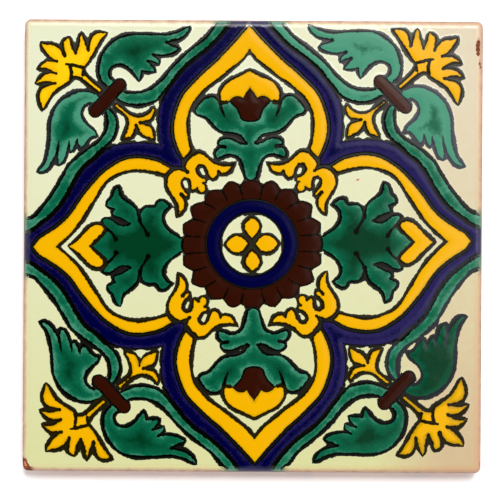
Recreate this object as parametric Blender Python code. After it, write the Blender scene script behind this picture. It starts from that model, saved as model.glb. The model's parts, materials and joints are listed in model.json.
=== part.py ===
"""Hand-made Talavera wall tile: a terracotta plate, its ground glaze and the pools of coloured glaze.

The tile lies on its back with the glazed face up (+Z) and the lotus motifs at +Y and -Y. The origin is
at the middle of the back. Outlines are in millimetres in the pattern's own frame, for the quarter at +X +Y;
the other three quarters mirror it. Each outline is a chain of smooth runs that meet at tips and notches.
"""
import math

import bmesh
import bpy
from mathutils import Matrix, Vector

MM = 0.001

# Clay body
TILE_WIDTH = 105.0
TILE_HEIGHT = 103.5
CLAY_THICKNESS = 6.2
CORNER_RADIUS = 1.4
FACE_CORNER_RADIUS = 1.0
FACE_ARRIS_RADIUS = 0.8
BACK_ARRIS_RADIUS = 0.4

# Glaze layers, each a hair above the one that it lies on
LAYER_GAP = 0.05
GROUND_THICKNESS = 0.35
POOL_THICKNESS = 0.35

# The pattern was laid on slightly off square, as it is when a tile is printed by hand
PATTERN_TURN = math.radians(1.07)
PATTERN_SHIFT = (-0.18, 0.48)

# A pool stops short of the middle of the resist line round it, so two neighbours stay apart
POOL_SETBACK = 0.2
POINT_SPACING = 1.25
BAND_POINT_SPACING = 2.2

ROSETTE_INNER_RADII = (10.45, 10.1)
BLUE_RING_OUTER_RADII = (10.05, 9.7)
BLUE_RING_INNER_RADII = (7.15, 7.15)
RING_SEGMENTS = 40
CLASP_END_STEPS = 8

GROUND_TOP = CLAY_THICKNESS + LAYER_GAP + GROUND_THICKNESS
POOL_BASE = GROUND_TOP + LAYER_GAP

# The quarters: name and the sign of each axis
QUARTERS = (
    ("top_right", 1, 1),
    ("top_left", -1, 1),
    ("bottom_left", -1, -1),
    ("bottom_right", 1, -1),
)

# ---------------------------------------------------------------- corner spray

CORNER_FLOWER = (
    ((32.2, 48.9), (33.2, 48.9), (34.3, 49.1), (35.4, 48.8), (36.2, 48.1), (36.7, 46.9), (36.9, 45.1)),
    ((36.9, 45.1), (37.3, 46.7), (37.8, 48.0), (38.4, 49.2)),
    ((38.4, 49.2), (39.0, 48.0), (39.2, 46.6), (39.8, 44.5)),
    ((39.8, 44.5), (40.3, 45.8), (40.7, 47.1), (41.1, 48.0)),
    ((41.1, 48.0), (42.1, 47.6), (42.8, 46.9), (42.9, 46.0), (42.4, 43.9)),
    ((42.4, 43.9), (43.0, 45.2), (44.0, 46.1), (45.3, 46.55), (46.5, 46.6), (47.8, 46.9)),
    ((47.8, 46.9), (47.7, 45.8), (47.1, 44.7), (46.3, 43.7), (45.5, 43.0), (44.3, 42.45)),
    ((44.3, 42.45), (45.5, 42.6), (46.5, 42.6), (47.5, 42.0), (48.2, 41.3), (48.9, 40.4)),
    ((48.9, 40.4), (47.6, 40.6), (46.4, 40.5), (44.5, 39.65)),
    ((44.5, 39.65), (45.7, 39.9), (46.9, 39.7), (47.9, 39.0), (48.6, 38.2), (49.3, 37.2)),
    ((49.3, 37.2), (48.1, 37.3), (46.6, 37.5), (44.7, 37.3)),
    ((44.7, 37.3), (46.0, 37.1), (47.1, 36.8), (48.0, 36.1), (48.5, 35.0), (48.5, 33.6), (47.6, 30.9)),
    ((47.6, 30.9), (46.7, 32.1), (45.9, 33.5), (45.0, 34.8), (43.8, 35.8), (42.4, 36.7), (41.2, 37.5),
     (40.4, 38.4)),
    ((40.4, 38.4), (39.3, 38.4), (38.2, 37.6), (36.9, 36.5), (35.6, 35.4), (34.6, 34.7)),
    ((34.6, 34.7), (33.6, 35.7)),
    ((33.6, 35.7), (35.0, 37.1), (36.3, 38.4), (37.3, 39.4), (37.8, 40.6)),
    ((37.8, 40.6), (36.9, 41.8), (35.8, 43.4), (34.8, 45.2), (33.7, 47.0), (32.2, 48.9)),
)

UPPER_LEAF = (
    ((13.2, 50.3), (14.7, 49.8), (16.0, 49.1), (17.5, 48.6), (19.2, 48.3), (21.5, 48.4), (24.1, 48.5),
     (26.8, 48.5), (28.9, 48.15), (30.3, 47.6), (31.5, 46.8), (32.8, 45.5), (33.9, 43.9), (34.5, 42.2),
     (34.8, 40.4), (34.6, 38.8), (33.8, 37.2), (32.6, 36.3), (31.6, 36.8), (31.1, 37.8)),
    ((31.1, 37.8), (31.8, 38.6), (32.0, 39.6), (31.5, 40.7), (30.4, 41.2), (29.0, 41.1), (27.8, 40.4),
     (26.8, 39.4), (25.3, 37.4)),
    ((25.3, 37.4), (24.8, 38.5), (24.6, 39.75)),
    ((24.6, 39.75), (23.3, 39.5), (21.4, 39.6)),
    ((21.4, 39.6), (21.9, 40.8), (23.0, 42.0)),
    ((23.0, 42.0), (21.8, 41.7), (20.6, 41.2)),
    ((20.6, 41.2), (20.6, 42.3), (21.8, 43.5)),
    ((21.8, 43.5), (20.2, 43.2), (18.6, 43.35), (17.1, 43.8), (15.7, 44.8)),
    ((15.7, 44.8), (16.5, 45.5), (18.7, 46.35)),
    ((18.7, 46.35), (17.3, 46.55), (15.9, 46.9), (14.7, 47.7), (13.7, 48.9), (13.2, 50.3)),
)

SIDE_LEAF = (
    ((34.6, 34.6), (35.7, 35.2), (37.1, 35.6), (38.5, 35.7), (39.9, 35.5), (41.3, 34.9), (42.7, 34.1),
     (43.8, 33.1), (44.8, 31.8), (45.5, 30.3), (46.0, 28.7), (46.15, 26.8), (46.2, 24.7), (46.5, 22.6),
     (46.9, 20.7), (47.5, 19.1), (49.1, 17.1)),
    ((49.1, 17.1), (47.9, 16.9), (46.8, 17.3), (45.7, 18.4), (44.5, 20.6)),
    ((44.5, 20.6), (44.4, 19.6), (44.1, 18.5)),
    ((44.1, 18.5), (43.0, 19.1), (42.3, 20.3), (41.7, 22.4)),
    ((41.7, 22.4), (41.1, 21.4)),
    ((41.1, 21.4), (40.3, 22.2), (39.8, 23.6)),
    ((39.8, 23.6), (39.0, 22.1)),
    ((39.0, 22.1), (38.0, 22.9), (37.1, 24.1), (36.2, 24.9), (35.1, 25.2)),
    ((35.1, 25.2), (35.5, 26.3), (36.4, 27.2), (37.4, 28.1), (38.2, 29.3), (38.5, 30.4), (38.1, 31.6),
     (37.2, 32.4), (35.6, 32.8), (34.6, 33.6), (34.6, 34.6)),
)

# How many points of each stem's last long run the blue band follows before it turns to the bud
UPPER_STEM_SHARED = 14
SIDE_STEM_SHARED = 15

CLASP_ENDS = ((29.75, 36.85), (35.45, 30.85))
CLASP_HALF_WIDTH = 1.3

UPPER_STEM = (
    ((29.3, 35.3), (27.8, 35.1), (26.3, 35.05), (24.8, 35.2), (23.3, 35.7), (22.0, 36.5), (20.7, 37.6),
     (19.6, 38.7), (18.4, 40.2), (17.2, 41.5), (15.9, 42.8), (14.4, 44.1), (12.9, 45.3), (11.3, 46.5),
     (9.9, 47.7), (8.8, 49.0), (7.8, 50.3), (6.5, 51.3), (5.2, 53.0)),
    ((5.2, 53.0), (3.0, 53.0)),
    ((3.0, 53.0), (4.0, 51.2), (5.0, 49.7), (6.4, 48.0), (7.6, 46.7), (8.9, 45.4), (10.4, 44.2),
     (12.0, 43.0), (13.5, 41.9), (14.9, 40.6), (16.1, 39.4), (17.2, 37.9), (18.2, 36.6), (19.3, 35.2),
     (20.3, 34.0), (21.4, 33.1), (22.7, 32.5), (24.1, 32.1), (25.5, 31.9), (26.9, 32.0), (28.3, 32.4),
     (29.6, 33.0), (30.8, 33.8)),
    ((30.8, 33.8), (29.3, 35.3)),
)

SIDE_STEM = (
    ((33.1, 30.9), (33.0, 29.4), (33.0, 27.9), (33.2, 26.6), (33.8, 25.4), (34.9, 24.1), (36.4, 23.0),
     (37.9, 22.0), (39.4, 20.9), (40.8, 19.6), (42.0, 18.3), (42.9, 16.7), (43.9, 15.0), (45.0, 13.1),
     (46.2, 11.4), (47.5, 9.8), (48.8, 8.2), (50.0, 7.0), (51.6, 6.4), (53.5, 5.2)),
    ((53.5, 5.2), (53.5, 2.2)),
    ((53.5, 2.2), (51.6, 3.2), (49.9, 4.1), (48.3, 5.3), (46.6, 6.6), (45.1, 7.9), (43.8, 9.4),
     (42.7, 11.0), (41.5, 13.0), (40.4, 15.1), (39.2, 17.0), (37.9, 18.5), (36.3, 19.7), (34.9, 21.0),
     (33.5, 22.3), (32.1, 23.6), (31.1, 24.9), (30.6, 26.4), (30.4, 28.0), (30.8, 29.7), (31.7, 31.1)),
    ((31.7, 31.1), (32.4, 31.5), (33.1, 30.9)),
)

BUD = (
    ((22.0, 31.8), (22.7, 31.1), (23.7, 30.3), (25.0, 29.8), (26.1, 29.8), (27.3, 30.2), (28.4, 31.0),
     (29.6, 32.0), (30.6, 32.7)),
    ((30.6, 32.7), (31.3, 31.9)),
    ((31.3, 31.9), (30.4, 31.1), (29.4, 30.3), (28.5, 29.4), (28.2, 28.4), (28.3, 27.3), (28.7, 26.1),
     (29.8, 24.0)),
    ((29.8, 24.0), (28.2, 24.3), (27.1, 24.7), (26.5, 25.5), (26.1, 27.2)),
    ((26.1, 27.2), (25.4, 25.7), (24.5, 24.9), (23.3, 24.4), (21.9, 23.9)),
    ((21.9, 23.9), (22.0, 25.2), (22.2, 26.4), (22.9, 27.4), (25.0, 28.1)),
    ((25.0, 28.1), (22.8, 28.5), (22.0, 29.6), (21.7, 30.8), (22.0, 31.8)),
)

# ---------------------------------------------------------------- quatrefoil

# Line between the blue band and the yellow arches, from each tip down to the trefoil
TOP_ARCH_OUTER = ((0.0, 50.2), (1.2, 48.9), (2.5, 47.4), (4.0, 45.8), (6.0, 43.7), (8.0, 41.7),
                  (10.0, 40.0), (12.0, 38.1), (13.7, 36.4), (15.0, 35.0), (16.0, 33.3), (16.8, 31.3),
                  (17.4, 29.3), (17.75, 27.2), (17.65, 25.1), (17.2, 23.2), (16.5, 21.4), (15.4, 19.4))
TOP_ARCH_INNER = ((13.4, 21.4), (13.75, 23.2), (14.1, 25.2), (14.2, 27.3), (14.1, 29.2), (13.6, 31.1),
                  (12.4, 33.0), (11.0, 34.6), (9.0, 36.3), (6.9, 37.8), (4.9, 39.4), (3.0, 40.9),
                  (1.4, 42.3), (0.0, 44.2))
SIDE_ARCH_OUTER = ((50.3, 0.0), (48.9, 1.8), (47.1, 3.0), (45.5, 4.0), (44.0, 5.1), (42.4, 6.5),
                   (40.9, 8.3), (39.7, 10.1), (38.4, 11.9), (37.0, 13.6), (35.6, 15.2), (34.0, 16.8),
                   (32.2, 18.1), (30.2, 19.3), (28.2, 20.0), (25.9, 20.2), (23.4, 19.9), (21.2, 19.3),
                   (18.2, 17.6))
SIDE_ARCH_INNER = ((19.5, 15.8), (21.6, 16.4), (24.0, 16.9), (26.4, 17.1), (28.6, 16.8), (30.6, 16.1),
                   (32.4, 15.1), (33.9, 13.5), (35.3, 11.2), (36.7, 9.0), (38.2, 6.6), (39.8, 4.4),
                   (41.5, 2.6), (43.1, 1.1), (44.4, 0.0))
# Corner that the blue band fills beside the trefoil, between the two arches
BAND_NODE = ((15.4, 19.4), (15.5, 18.5), (15.5, 17.6), (16.7, 17.5), (18.2, 17.6))
# Corner of the blue band that faces the bud
BAND_POCKET = ((19.3, 35.2), (20.2, 33.4), (20.8, 31.3), (21.1, 29.1), (21.1, 26.5), (20.7, 23.0)), (
    (20.7, 23.0), (22.4, 23.3), (24.6, 23.55), (27.0, 23.55), (29.3, 23.35), (31.4, 22.9), (33.5, 22.3))

TREFOIL = (
    ((3.4, 18.85), (4.8, 18.4), (6.3, 18.4), (7.8, 18.65), (9.0, 19.3), (10.0, 20.3), (11.0, 21.1),
     (12.0, 21.35), (13.1, 21.0), (14.1, 20.1), (14.9, 19.1), (15.3, 18.0), (14.7, 16.8)),
    ((14.7, 16.8), (15.7, 17.2), (16.8, 17.4), (18.0, 17.0), (19.0, 16.1), (19.55, 14.8), (19.5, 13.4),
     (18.9, 12.0), (18.1, 10.8), (17.4, 9.6), (17.1, 8.4), (17.2, 6.2)),
    ((17.2, 6.2), (16.3, 6.8), (15.5, 7.7), (15.0, 8.8), (15.0, 10.0), (16.0, 11.5)),
    ((16.0, 11.5), (15.1, 10.8), (14.2, 10.8), (14.4, 11.8), (15.2, 12.7), (15.8, 13.7), (15.8, 14.6),
     (15.2, 15.2), (14.5, 14.9), (14.1, 14.0), (14.0, 12.9), (13.4, 12.1), (12.4, 12.8)),
    ((12.4, 12.8), (12.1, 12.0), (11.2, 11.75), (10.4, 12.2), (10.3, 13.3), (10.9, 14.1)),
    ((10.9, 14.1), (10.2, 14.3), (10.4, 15.1), (11.3, 15.6), (12.0, 16.4), (12.3, 17.2), (11.8, 18.0),
     (11.0, 17.9), (10.4, 17.1), (10.0, 16.0), (9.4, 15.1), (8.6, 14.75), (7.8, 15.4), (7.4, 16.6)),
    ((7.4, 16.6), (6.6, 15.95), (5.6, 16.1), (4.7, 16.6), (4.2, 17.5), (3.4, 18.85)),
)

# ---------------------------------------------------------------- lotus, halves at +X

TULIP_HALF = (
    ((0.0, 39.9), (1.5, 39.25), (3.0, 38.55), (4.4, 37.9), (5.7, 37.0), (6.6, 35.9), (7.15, 34.6),
     (7.1, 33.4), (6.8, 32.4)),
    ((6.8, 32.4), (5.7, 32.45), (4.75, 32.7)),
    ((4.75, 32.7), (4.0, 33.35), (2.9, 33.7), (1.55, 33.25)),
    ((1.55, 33.25), (0.9, 34.3), (0.0, 35.6)),
)
HEART_HALF = (
    ((0.0, 35.6), (0.9, 34.3), (1.55, 33.25)),
    ((1.55, 33.25), (2.9, 33.7), (4.0, 33.35), (4.75, 32.7)),
    ((4.75, 32.7), (3.8, 31.9), (2.9, 30.9), (2.4, 29.7), (1.9, 28.6), (1.1, 28.25), (0.0, 28.25)),
)
FOLIAGE_HALF = (
    ((0.0, 28.25), (1.1, 28.25), (1.9, 28.6), (2.4, 29.7), (2.9, 30.9), (3.8, 31.9), (4.75, 32.7)),
    ((4.75, 32.7), (5.7, 32.45), (6.8, 32.4)),
    ((6.8, 32.4), (7.3, 33.3), (8.0, 33.9), (9.2, 34.1), (10.4, 33.7), (11.4, 32.8), (12.3, 31.6),
     (12.75, 30.5), (12.2, 29.7), (11.0, 29.3), (10.1, 28.8), (9.2, 27.8), (8.2, 26.7), (7.0, 25.8),
     (5.6, 25.4), (4.0, 25.2), (2.6, 24.75), (1.25, 23.2)),
    ((1.25, 23.2), (2.6, 23.4), (3.9, 24.1), (5.4, 24.45), (6.8, 24.2), (7.5, 23.4), (7.3, 22.5),
     (6.1, 22.3)),
    ((6.1, 22.3), (7.5, 22.2), (8.2, 21.3), (8.3, 20.3), (7.7, 19.5), (6.6, 19.8), (5.3, 20.25),
     (3.9, 20.15), (2.8, 19.4), (2.2, 18.0), (1.8, 16.6), (1.35, 14.9), (0.0, 14.6)),
)

# ---------------------------------------------------------------- palmette, halves at +Y

PALMETTE_HALF = (
    ((15.9, 0.0), (15.8, 1.2), (16.6, 2.0), (17.7, 2.7), (18.8, 3.5), (19.6, 4.5), (20.1, 5.7),
     (20.1, 6.9), (19.5, 7.9), (18.3, 8.8)),
    ((18.3, 8.8), (19.2, 9.7), (20.3, 10.35), (21.4, 10.2), (22.2, 9.0)),
    ((22.2, 9.0), (23.3, 9.0), (24.4, 8.8), (25.3, 8.1), (25.7, 7.0), (25.75, 6.0)),
    ((25.75, 6.0), (26.1, 8.1), (27.0, 9.4), (28.2, 10.3), (29.4, 11.3), (29.8, 12.6), (30.2, 13.9)),
    ((30.2, 13.9), (31.2, 13.4), (31.8, 12.3), (32.2, 11.1), (33.1, 10.1), (33.3, 9.1), (31.6, 8.3)),
    ((31.6, 8.3), (32.1, 7.5), (31.6, 6.75), (30.2, 6.2), (28.2, 5.1)),
    ((28.2, 5.1), (29.8, 4.8), (31.0, 5.4), (32.2, 6.2), (33.4, 6.45), (34.4, 6.0)),
    ((34.4, 6.0), (34.0, 4.9), (33.4, 4.0), (33.9, 2.9), (34.9, 1.9), (36.0, 0.9), (36.9, 0.0)),
)
TIP_PETAL_HALF = (
    ((36.9, 0.0), (36.0, 0.9), (34.9, 1.9), (33.9, 2.9), (33.4, 4.0)),
    ((33.4, 4.0), (34.3, 4.9), (35.5, 5.25), (36.7, 4.9), (37.8, 4.1), (38.8, 3.0), (39.9, 1.9),
     (41.0, 0.9), (42.1, 0.0)),
)

# ---------------------------------------------------------------- centre

# One quarter of the rosette's scalloped outer edge, from the +Y axis to the +X axis
ROSETTE_QUARTER = (
    ((0.0, 14.3), (1.1, 14.2), (1.9, 13.7), (2.6, 12.9)),
    ((2.6, 12.9), (3.6, 13.75), (4.8, 14.0), (5.7, 13.3), (6.5, 12.0)),
    ((6.5, 12.0), (7.9, 12.15), (9.3, 11.9), (10.1, 10.9), (10.5, 9.4)),
    ((10.5, 9.4), (12.0, 9.25), (13.3, 8.6), (13.4, 7.4), (12.9, 5.8)),
    ((12.9, 5.8), (14.2, 5.2), (15.4, 4.5), (15.3, 3.3), (14.7, 2.05)),
    ((14.7, 2.05), (15.4, 1.5), (15.8, 0.8), (15.9, 0.0)),
)
NORTH_PETAL_HALF = (
    ((0.0, 6.4), (0.9, 5.9), (1.7, 5.1), (2.05, 4.1), (1.7, 2.9), (1.1, 2.0), (0.0, 0.9)),
)
EAST_PETAL_HALF = (
    ((0.45, 0.0), (1.2, 1.1), (2.2, 1.95), (3.4, 2.25), (4.7, 1.85), (5.6, 1.0), (6.15, 0.0)),
)


# ---------------------------------------------------------------- outlines

def smooth_run(points, spacing):
    """Points on a Catmull-Rom curve through one run; its last point is left to the next run."""
    ends = [2 * points[0] - points[1], *points, 2 * points[-1] - points[-2]]
    result = []
    for before, start, end, after in zip(ends, ends[1:], ends[2:], ends[3:]):
        steps = max(1, round((end - start).length / spacing))
        for step in range(steps):
            t = step / steps
            result.append(0.5 * (2 * start + (end - before) * t
                                 + (2 * before - 5 * start + 4 * end - after) * t * t
                                 + (3 * start - before - 3 * end + after) * t * t * t))
    return result


def closed_outline(runs, spacing=POINT_SPACING):
    """One closed outline from runs that follow each other end to start."""
    return [point for run in runs for point in smooth_run([Vector(p) for p in run], spacing)]


def mirrored_runs(runs, axis):
    """The runs and their mirror image across the x (axis 0) or y (axis 1) half line."""
    signs = (-1, 1) if axis == 0 else (1, -1)
    mirrored = [tuple((x * signs[0], y * signs[1]) for x, y in reversed(run)) for run in reversed(runs)]
    return (*runs, *mirrored)


def outline_area(points):
    """Signed area, positive where the outline runs counter-clockwise."""
    return 0.5 * sum(a.x * b.y - b.x * a.y for a, b in zip(points, points[1:] + points[:1]))


def distance_to_outline(point, outline):
    """Shortest distance from a point to the closed outline."""
    shortest = math.inf
    for a, b in zip(outline, outline[1:] + outline[:1]):
        along = (b - a)
        t = max(0.0, min(1.0, (point - a).dot(along) / along.length_squared))
        shortest = min(shortest, (point - a - along * t).length)
    return shortest


def set_back(points, distance):
    """The outline moved inwards by distance, without the points that a narrow tip would fold over."""
    turn = 1 if outline_area(points) > 0 else -1
    moved = []
    for before, here, after in zip([points[-1]] + points[:-1], points, points[1:] + points[:1]):
        into = (here - before).normalized()
        out = (after - here).normalized()
        normals = [Vector((-d.y, d.x)) * turn for d in (into, out)]
        bisector = (normals[0] + normals[1]).normalized()
        reach = min(distance / max(0.2, bisector.dot(normals[0])), 3.0 * distance)
        moved.append(here + bisector * reach)
    return [p for p in moved if distance_to_outline(p, points) > 0.97 * distance]


# ---------------------------------------------------------------- solids

def glaze_material(name, colour, roughness):
    """A fired glaze or clay: one colour, no metal."""
    material = bpy.data.materials.new(name)
    material.use_nodes = True
    shader = material.node_tree.nodes["Principled BSDF"]
    shader.inputs["Base Color"].default_value = (*colour, 1.0)
    shader.inputs["Roughness"].default_value = roughness
    shader.inputs["Metallic"].default_value = 0.0
    material.diffuse_color = (*colour, 1.0)
    return material


def add_object(name, bm, material, parent=None):
    """A named object from a bmesh, its faces turned outwards."""
    bmesh.ops.recalc_face_normals(bm, faces=bm.faces)
    mesh = bpy.data.meshes.new(name)
    bm.to_mesh(mesh)
    bm.free()
    mesh.materials.append(material)
    thing = bpy.data.objects.new(name, mesh)
    bpy.context.scene.collection.objects.link(thing)
    thing.parent = parent
    return thing


def extrude_outlines(outlines, height):
    """A closed plate of the given height between z = 0 and height, from an outline and its holes."""
    bm = bmesh.new()
    edges = []
    for outline in outlines:
        verts = [bm.verts.new((p.x * MM, p.y * MM, 0.0)) for p in outline]
        edges += [bm.edges.new(pair) for pair in zip(verts, verts[1:] + verts[:1])]
    bmesh.ops.triangle_fill(bm, use_beauty=True, use_dissolve=False, edges=edges)
    raised = bmesh.ops.extrude_face_region(bm, geom=bm.faces[:], use_keep_orig=True)
    verts = [item for item in raised["geom"] if isinstance(item, bmesh.types.BMVert)]
    bmesh.ops.translate(bm, verts=verts, vec=(0.0, 0.0, height * MM))
    return bm


def pool(name, outlines, material, pattern):
    """One pool of glaze: plan outlines in the pattern's frame, outer edge first, then holes."""
    moved = [set_back(outlines[0], POOL_SETBACK)]
    moved += [set_back(hole, -POOL_SETBACK) for hole in outlines[1:]]
    return add_object(name, extrude_outlines(moved, POOL_THICKNESS), material, pattern)


def mirrored(outline, sx, sy):
    """An outline of the +X +Y quarter carried to another quarter."""
    return [Vector((p.x * sx, p.y * sy)) for p in outline]


def oval(radii):
    """An oval round the middle of the pattern."""
    turns = [2 * math.pi * i / RING_SEGMENTS for i in range(RING_SEGMENTS)]
    return [Vector((radii[0] * math.cos(t), radii[1] * math.sin(t))) for t in turns]


def four_quarters(runs, spacing):
    """A closed outline round the middle from the runs of one quarter, +Y axis to +X axis."""
    half = mirrored_runs(runs, 1)
    return closed_outline(mirrored_runs(half, 0), spacing)


def clasp_outline():
    """A round-ended bar between the two clasp ends."""
    start, end = (Vector(p) for p in CLASP_ENDS)
    heading = math.atan2(end.y - start.y, end.x - start.x)
    points = []
    for middle, first in ((end, heading - math.pi / 2), (start, heading + math.pi / 2)):
        for step in range(CLASP_END_STEPS + 1):
            angle = first + math.pi * step / CLASP_END_STEPS
            points.append(middle + CLASP_HALF_WIDTH * Vector((math.cos(angle), math.sin(angle))))
    return points


def rounded_plate(width, height, thickness, corner_radius):
    """A plate on z = 0 with rounded upright corners."""
    bm = bmesh.new()
    size = Matrix.Diagonal((width * MM, height * MM, thickness * MM, 1.0))
    bmesh.ops.create_cube(bm, size=1.0, matrix=Matrix.Translation((0, 0, thickness * MM / 2)) @ size)
    upright = [e for e in bm.edges if abs(e.verts[0].co.z - e.verts[1].co.z) > 0.5 * thickness * MM]
    bmesh.ops.bevel(bm, geom=upright, offset=corner_radius * MM, segments=5, profile=0.5, affect="EDGES")
    return bm


def round_rim(bm, level, radius, segments):
    """Rounds the arris that runs round a plate at the given height."""
    rim = [e for e in bm.edges if all(abs(v.co.z - level * MM) < 1e-6 for v in e.verts)
           and len({round(f.normal.z) for f in e.link_faces}) == 2]
    bmesh.ops.bevel(bm, geom=rim, offset=radius * MM, segments=segments, profile=0.5, affect="EDGES")


# ---------------------------------------------------------------- the tile

def make_clay_body(material):
    """The terracotta plate, its face arris rounded more than its back arris."""
    bm = rounded_plate(TILE_WIDTH, TILE_HEIGHT, CLAY_THICKNESS, CORNER_RADIUS)
    bm.normal_update()
    round_rim(bm, CLAY_THICKNESS, FACE_ARRIS_RADIUS, 3)
    round_rim(bm, 0.0, BACK_ARRIS_RADIUS, 2)
    return add_object("clay_body", bm, material)


def face_plate(thickness):
    """A plate that covers the flat of the face, inside its rounded arris."""
    inset = 2 * FACE_ARRIS_RADIUS
    return rounded_plate(TILE_WIDTH - inset, TILE_HEIGHT - inset, thickness, FACE_CORNER_RADIUS)


def make_ground_glaze(material):
    """The cream coat under the pattern."""
    ground = add_object("ground_glaze", face_plate(GROUND_THICKNESS), material)
    ground.location.z = (CLAY_THICKNESS + LAYER_GAP) * MM
    return ground


def make_face_trim():
    """A cutter: what it holds is the part of a pool that lies on the face."""
    trim = add_object("face_trim", face_plate(4 * POOL_THICKNESS), glaze_material("trim", (1, 1, 1), 0.5))
    trim.location.z = (POOL_BASE - POOL_THICKNESS) * MM
    trim.hide_render = True
    trim.display_type = "WIRE"
    return trim


def trim_to_face(piece, trim):
    """Cuts a pool off where it runs over the edge of the face."""
    cut = piece.modifiers.new("trim_to_face", "BOOLEAN")
    cut.operation = "INTERSECT"
    cut.solver = "EXACT"
    cut.object = trim


def make_corner_spray(quarter, sx, sy, glazes, pattern, trim):
    """Flower, two leaves, clasp, two stems and bud of one corner, and the trefoil below them."""
    pieces = (
        ("corner_flower", closed_outline(CORNER_FLOWER), "yellow"),
        ("upper_leaf", closed_outline(UPPER_LEAF), "green"),
        ("side_leaf", closed_outline(SIDE_LEAF), "green"),
        ("clasp", clasp_outline(), "brown"),
        ("upper_stem", closed_outline(UPPER_STEM, BAND_POINT_SPACING), "green"),
        ("side_stem", closed_outline(SIDE_STEM, BAND_POINT_SPACING), "green"),
        ("bud", closed_outline(BUD), "yellow"),
        ("trefoil", closed_outline(TREFOIL), "yellow"),
    )
    for name, outline, glaze in pieces:
        piece = pool(f"{name}_{quarter}", [mirrored(outline, sx, sy)], glazes[glaze], pattern)
        if name.endswith("stem"):
            trim_to_face(piece, trim)


def make_arches(glazes, pattern):
    """Four yellow arches, one round each lobe of the quatrefoil."""
    top_half = (tuple(reversed(TOP_ARCH_INNER)), (TOP_ARCH_INNER[0], TOP_ARCH_OUTER[-1]),
                tuple(reversed(TOP_ARCH_OUTER)))
    side_half = (SIDE_ARCH_OUTER, (SIDE_ARCH_OUTER[-1], SIDE_ARCH_INNER[0]), SIDE_ARCH_INNER)
    top = closed_outline(mirrored_runs(top_half, 0), BAND_POINT_SPACING)
    side = closed_outline(mirrored_runs(side_half, 1), BAND_POINT_SPACING)
    for name, outline, sx, sy in (("top", top, 1, 1), ("bottom", top, 1, -1),
                                  ("right", side, 1, 1), ("left", side, -1, 1)):
        pool(f"{name}_arch", [mirrored(outline, sx, sy)], glazes["yellow"], pattern)


def make_ogee_band(glazes, pattern, trim):
    """The blue band between the arches and the stems, which runs off the tile at its four tips."""
    outer = (((0.0, 53.5), (3.0, 53.0)), UPPER_STEM[2][:UPPER_STEM_SHARED], *BAND_POCKET,
             tuple(reversed(SIDE_STEM[2][:SIDE_STEM_SHARED])), ((53.5, 2.2), (53.5, 0.0)))
    inner = (TOP_ARCH_OUTER, BAND_NODE[:3], BAND_NODE[2:], tuple(reversed(SIDE_ARCH_OUTER)))
    outlines = [four_quarters(outer, BAND_POINT_SPACING), four_quarters(inner, BAND_POINT_SPACING)]
    trim_to_face(pool("ogee_band", outlines, glazes["blue"], pattern), trim)


def make_lotus(name, sy, glazes, pattern):
    """Yellow tulip, brown heart and green foliage on the long axis."""
    for part, half, glaze in (("tulip", TULIP_HALF, "yellow"), ("heart", HEART_HALF, "brown"),
                              ("foliage", FOLIAGE_HALF, "green")):
        outline = closed_outline(mirrored_runs(half, 0))
        pool(f"{name}_{part}", [mirrored(outline, 1, sy)], glazes[glaze], pattern)


def make_palmette(name, sx, glazes, pattern):
    """Green palmette and its yellow tip petal on the cross axis."""
    for part, half, glaze in (("palmette", PALMETTE_HALF, "green"), ("tip_petal", TIP_PETAL_HALF, "yellow")):
        outline = closed_outline(mirrored_runs(half, 1))
        pool(f"{name}_{part}", [mirrored(outline, sx, 1)], glazes[glaze], pattern)


def make_centre(glazes, pattern):
    """Scalloped rosette, blue ring and four petals."""
    scallops = four_quarters(ROSETTE_QUARTER, POINT_SPACING)
    pool("rosette", [scallops, oval(ROSETTE_INNER_RADII)], glazes["brown"], pattern)
    pool("centre_ring", [oval(BLUE_RING_OUTER_RADII), oval(BLUE_RING_INNER_RADII)], glazes["blue"], pattern)
    north = closed_outline(mirrored_runs(NORTH_PETAL_HALF, 0))
    east = closed_outline(mirrored_runs(EAST_PETAL_HALF, 1))
    for name, outline, sx, sy in (("top", north, 1, 1), ("bottom", north, 1, -1),
                                  ("right", east, 1, 1), ("left", east, -1, 1)):
        pool(f"centre_petal_{name}", [mirrored(outline, sx, sy)], glazes["yellow"], pattern)


def main():
    for thing in list(bpy.data.objects):
        bpy.data.objects.remove(thing)
    glazes = {
        "yellow": glaze_material("yellow_glaze", (0.93, 0.48, 0.005), 0.15),
        "green": glaze_material("green_glaze", (0.012, 0.17, 0.085), 0.15),
        "blue": glaze_material("blue_glaze", (0.005, 0.003, 0.06), 0.15),
        "brown": glaze_material("brown_glaze", (0.04, 0.008, 0.004), 0.2),
    }
    make_clay_body(glaze_material("terracotta", (0.52, 0.23, 0.13), 0.85))
    make_ground_glaze(glaze_material("cream_glaze", (0.80, 0.83, 0.62), 0.15))
    trim = make_face_trim()
    pattern = bpy.data.objects.new("pattern", None)
    bpy.context.scene.collection.objects.link(pattern)
    pattern.location = (PATTERN_SHIFT[0] * MM, PATTERN_SHIFT[1] * MM, POOL_BASE * MM)
    pattern.rotation_euler.z = PATTERN_TURN
    for quarter, sx, sy in QUARTERS:
        make_corner_spray(quarter, sx, sy, glazes, pattern, trim)
    make_arches(glazes, pattern)
    make_ogee_band(glazes, pattern, trim)
    make_lotus("top_lotus", 1, glazes, pattern)
    make_lotus("bottom_lotus", -1, glazes, pattern)
    make_palmette("right", 1, glazes, pattern)
    make_palmette("left", -1, glazes, pattern)
    make_centre(glazes, pattern)


main()
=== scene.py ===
"""Looks of the hand-made Talavera wall tile: fired clay, cream ground glaze, dark resist lines and raised pools
of coloured glaze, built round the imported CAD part.

Shapes are worked out flat in millimetres, draped over the face of the tile and brought to metres at the end.
"""
import json
import math

import bmesh
import bpy
from bpy.props import FloatProperty, FloatVectorProperty, PointerProperty
from bpy.types import Operator, Panel, PropertyGroup
from mathutils import Matrix, Vector, kdtree, noise


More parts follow.
